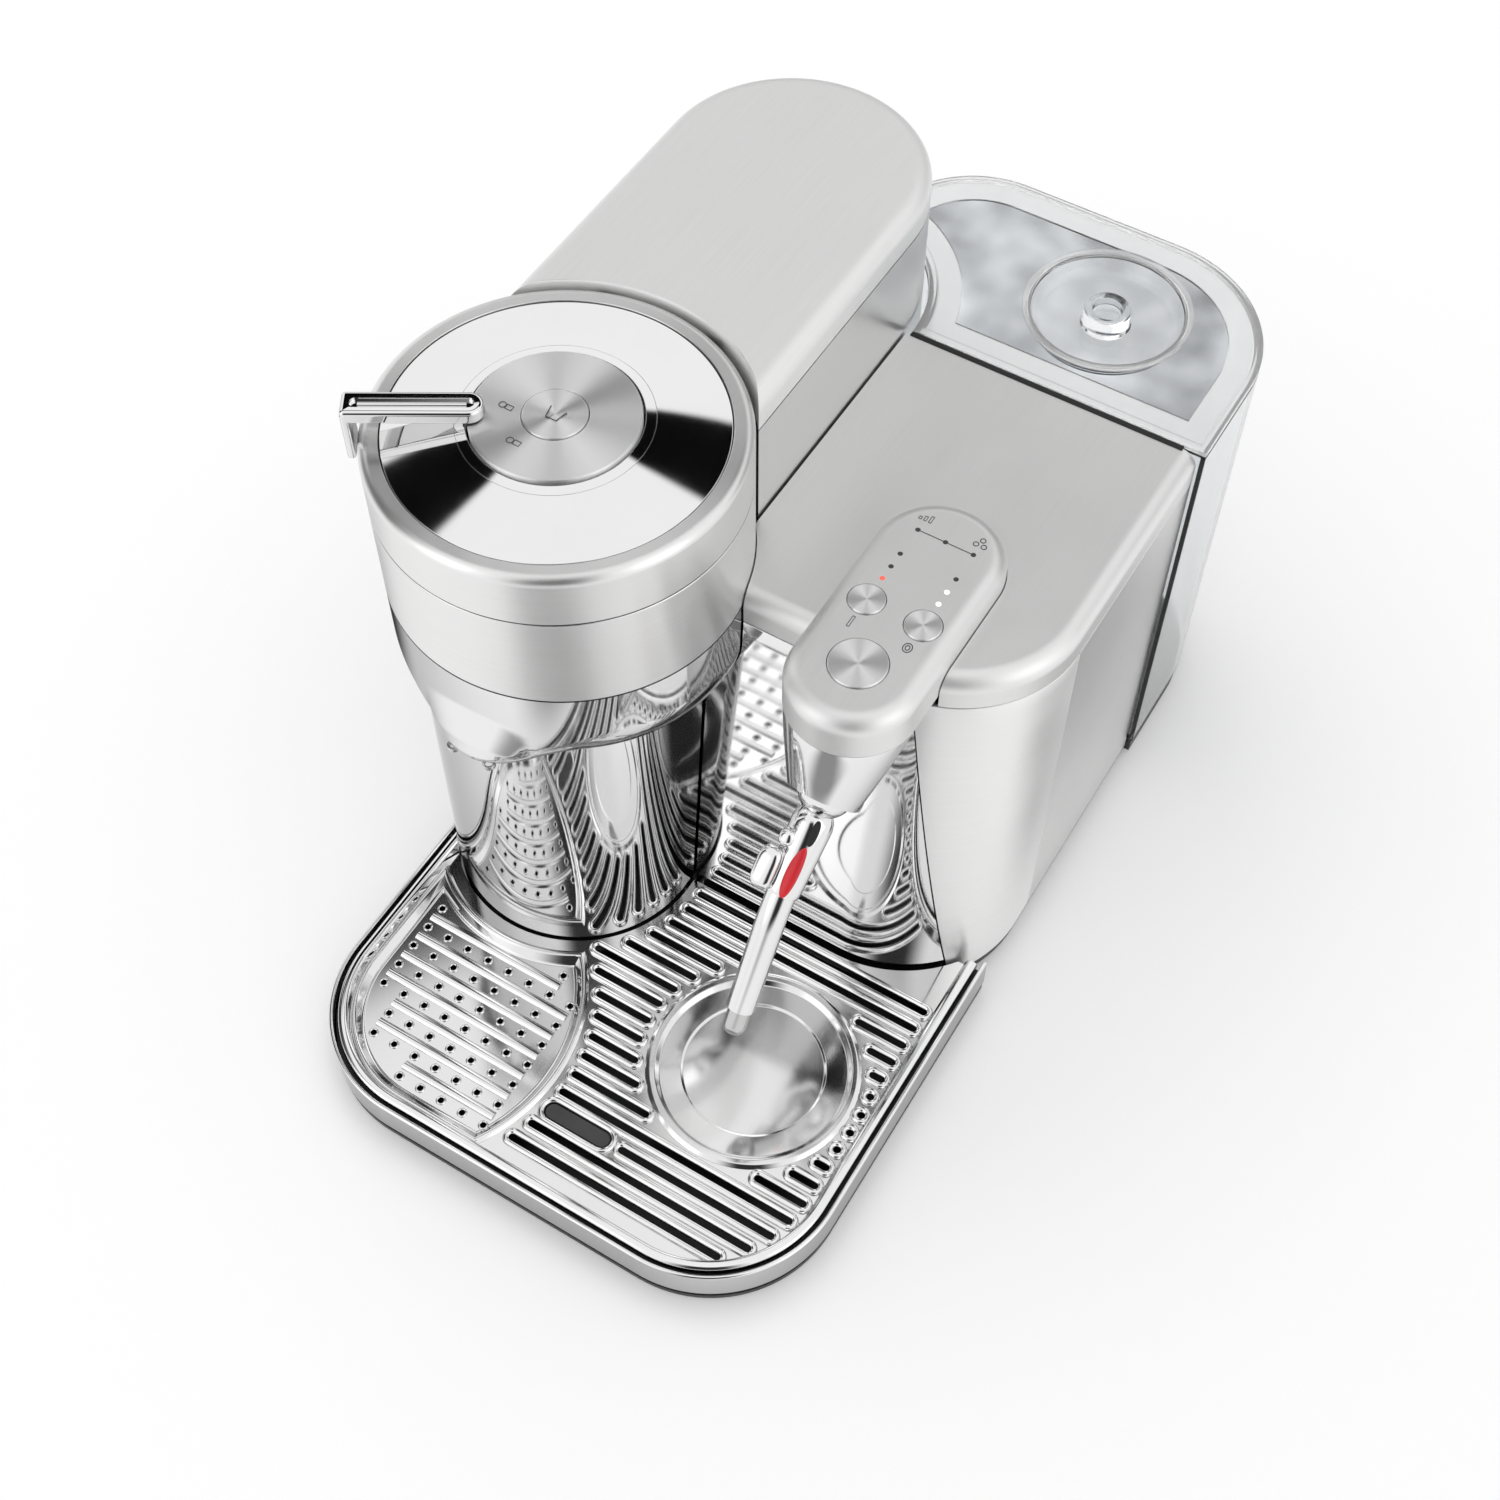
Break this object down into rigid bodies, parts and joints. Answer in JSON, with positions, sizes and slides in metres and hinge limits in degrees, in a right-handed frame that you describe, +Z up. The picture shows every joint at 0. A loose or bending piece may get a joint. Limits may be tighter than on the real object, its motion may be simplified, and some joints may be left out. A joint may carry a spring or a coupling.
{
  "type": "pod coffee machine",
  "caption": "Pod coffee machine with a hinged spinning brew head, a tilting steam wand, a pull-out drip tray and a lift-off clear water tank.",
  "frame": {"origin": "middle of the footprint, on the worktop", "axes": "-Y is the front with the cup, +X is the user's right, +Z is up"},
  "size_m": [0.254, 0.428, 0.279],
  "materials": {
    "satin_steel": "fine satin brush",
    "mirror_chrome": "mirror polish",
    "turned_steel": "turned in fine rings",
    "plain_steel": "plain bright steel",
    "black_plastic": "fine matte grain",
    "clear_plastic": "clear, polished",
    "rubber": "matte",
    "aluminium": "die cast",
    "red_plastic": "soft gloss",
    "light_lens": "small clear lens"
  },
  "bodies": {
    "base": {"base_plate": "black_plastic", "rubber_feet": "rubber", "base_screws": "plain_steel", "tower_shell": "satin_steel", "cord_gland": "rubber", "column_front": "mirror_chrome", "arm_top": "satin_steel", "tower_frame": "black_plastic", "head_bowl": "mirror_chrome", "coffee_outlets": "black_plastic", "head_band": "satin_steel", "brew_deck": "black_plastic", "spindle_bearing": "plain_steel", "brew_motor": "plain_steel", "drive_belt": "rubber", "heater_block": "aluminium", "water_pump": "black_plastic", "water_hose": "rubber", "steam_boiler": "plain_steel", "steam_pipe": "plain_steel", "splash_panel": "mirror_chrome", "housing_wrap": "satin_steel", "side_panel": "satin_steel", "rear_panel": "black_plastic", "housing_lid": "satin_steel", "control_cap": "satin_steel", "indicator_lights": "light_lens", "control_board": "black_plastic", "wand_horn": "mirror_chrome", "tank_socket": "rubber"},
    "cover": {"head_ring": "satin_steel", "cover_core": "black_plastic", "hinge_pin": "plain_steel", "head_dome": "mirror_chrome", "head_disc": "turned_steel", "injector": "plain_steel", "chamber_seal": "rubber"},
    "lever": {"lock_lever": "mirror_chrome"},
    "brew_key": {"brew_button": "turned_steel"},
    "holder": {"pod_holder": "plain_steel", "holder_pulley": "black_plastic"},
    "rotor": {"motor_pulley": "plain_steel"},
    "main_key": {"main_button": "turned_steel"},
    "left_key": {"left_button": "turned_steel"},
    "right_key": {"right_button": "turned_steel"},
    "wand": {"wand_tube": "mirror_chrome", "wand_tip": "plain_steel", "wand_tab": "mirror_chrome", "wand_grip": "red_plastic"},
    "tray": {"tray_pan": "black_plastic", "tray_skirt": "mirror_chrome", "tray_feet": "rubber"},
    "grid": {"drip_grid": "mirror_chrome"},
    "float": {"tray_float": "black_plastic"},
    "tank": {"water_tank": "clear_plastic"},
    "tank_cap": {"tank_lid": "clear_plastic", "tank_knob": "clear_plastic"},
    "valve": {"tank_valve": "black_plastic"},
    "container": {"pod_container": "black_plastic"}
  },
  "joints": [
    {"name": "cover_hinge", "type": "hinge", "parent": "base", "child": "cover", "pos_m": [-0.0576, 0.0144, 0.26], "axis": [-1, 0, 0], "range_deg": [0, 35]},
    {"name": "lever_turn", "type": "hinge", "parent": "cover", "child": "lever", "pos_m": [-0.0576, -0.048, 0.27], "axis": [0, 0, 1], "range_deg": [0, 45]},
    {"name": "brew_press", "type": "slide", "parent": "cover", "child": "brew_key", "axis": [0, 0, -1], "range_m": [0, 0.0012], "stiffness_N_per_m": 1500},
    {"name": "pod_spin", "type": "hinge", "parent": "base", "child": "holder", "pos_m": [-0.0576, -0.048, 0.18], "axis": [0, 0, 1], "continuous": true},
    {"name": "motor_spin", "type": "hinge", "parent": "base", "child": "rotor", "pos_m": [-0.0576, 0.105, 0.176], "axis": [0, 0, 1], "continuous": true},
    {"name": "main_press", "type": "slide", "parent": "base", "child": "main_key", "axis": [0, 0, -1], "range_m": [0, 0.001], "stiffness_N_per_m": 800},
    {"name": "left_press", "type": "slide", "parent": "base", "child": "left_key", "axis": [0, 0, -1], "range_m": [0, 0.001], "stiffness_N_per_m": 800},
    {"name": "right_press", "type": "slide", "parent": "base", "child": "right_key", "axis": [0, 0, -1], "range_m": [0, 0.001], "stiffness_N_per_m": 800},
    {"name": "wand_tilt", "type": "hinge", "parent": "base", "child": "wand", "pos_m": [0.0655, -0.066, 0.158], "axis": [-1, 0, 0], "range_deg": [-18, 25]},
    {"name": "tray_slide", "type": "slide", "parent": "base", "child": "tray", "axis": [0, -1, 0], "range_m": [0, 0.15]},
    {"name": "grid_lift", "type": "slide", "parent": "tray", "child": "grid", "axis": [0, 0, 1], "range_m": [0, 0.018]},
    {"name": "float_rise", "type": "slide", "parent": "tray", "child": "float", "axis": [0, 0, 1], "range_m": [0, 0.012]},
    {"name": "tank_lift", "type": "slide", "parent": "base", "child": "tank", "axis": [0, 0, 1], "range_m": [0, 0.12]},
    {"name": "tank_lid_lift", "type": "slide", "parent": "tank", "child": "tank_cap", "axis": [0, 0, 1], "range_m": [0, 0.05]},
    {"name": "valve_lift", "type": "slide", "parent": "tank", "child": "valve", "axis": [0, 0, 1], "range_m": [0, 0.0025], "stiffness_N_per_m": 300},
    {"name": "container_slide", "type": "slide", "parent": "base", "child": "container", "axis": [-1, 0, 0], "range_m": [0, 0.095]}
  ],
  "couplings": [
    {"joint": "motor_spin", "follows": "pod_spin", "ratio": 2}
  ]
}
